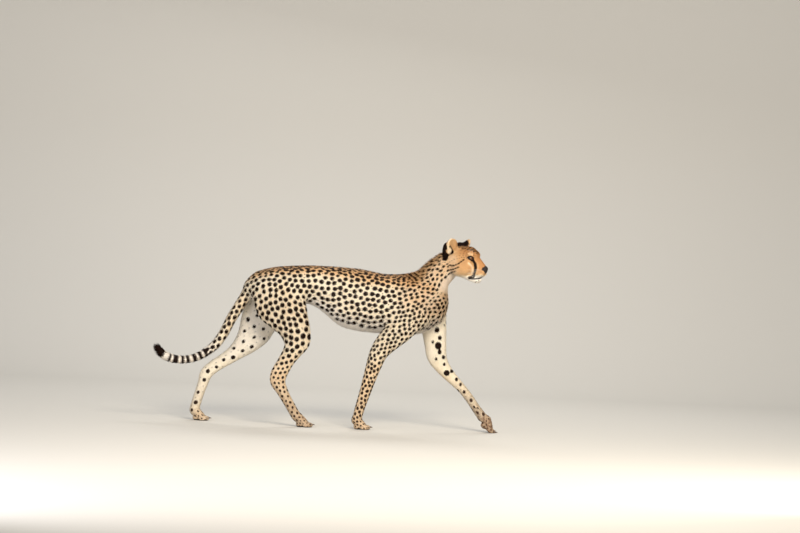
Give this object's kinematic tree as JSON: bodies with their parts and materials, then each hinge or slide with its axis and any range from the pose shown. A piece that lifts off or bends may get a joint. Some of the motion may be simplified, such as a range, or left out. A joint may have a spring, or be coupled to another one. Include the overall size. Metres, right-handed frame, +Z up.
{
  "type": "cheetah",
  "caption": "Life-size still cheetah in a walking stance, head raised and turned a little, tail curving down behind and up at its tip.",
  "frame": {"origin": "on the floor, under the middle of the body's length and width", "axes": "+X forward along the body, +Y to the animal's left, +Z up"},
  "size_m": [1.7374, 0.2425, 0.973],
  "materials": {
    "coat": "short tawny fur, paler below, with black spots",
    "nose": "moist black nose leather, pads and lips",
    "eye": "amber iris under a clear wet cornea",
    "claw": "dark horn, smooth and a little worn",
    "whisker": "stiff white whiskers"
  },
  "bodies": {
    "root": {"ear_left": "coat", "ear_right": "coat", "eye_left": "eye", "eye_right": "eye", "foreleg_left_claw_1": "claw", "foreleg_left_claw_2": "claw", "foreleg_left_claw_3": "claw", "foreleg_left_claw_4": "claw", "foreleg_left_dewclaw": "claw", "foreleg_left_forearm": "coat", "foreleg_left_paw": "coat", "foreleg_left_upper_arm": "coat", "foreleg_right_claw_1": "claw", "foreleg_right_claw_2": "claw", "foreleg_right_claw_3": "claw", "foreleg_right_claw_4": "claw", "foreleg_right_dewclaw": "claw", "foreleg_right_forearm": "coat", "foreleg_right_paw": "coat", "foreleg_right_upper_arm": "coat", "head": "coat", "hindleg_left_claw_1": "claw", "hindleg_left_claw_2": "claw", "hindleg_left_claw_3": "claw", "hindleg_left_claw_4": "claw", "hindleg_left_metatarsus": "coat", "hindleg_left_paw": "coat", "hindleg_left_shank": "coat", "hindleg_left_thigh": "coat", "hindleg_right_claw_1": "claw", "hindleg_right_claw_2": "claw", "hindleg_right_claw_3": "claw", "hindleg_right_claw_4": "claw", "hindleg_right_metatarsus": "coat", "hindleg_right_paw": "coat", "hindleg_right_shank": "coat", "hindleg_right_thigh": "coat", "neck": "coat", "tail_base": "coat", "tail_middle": "coat", "tail_tip": "coat", "trunk": "coat"}
  },
  "joints": []
}
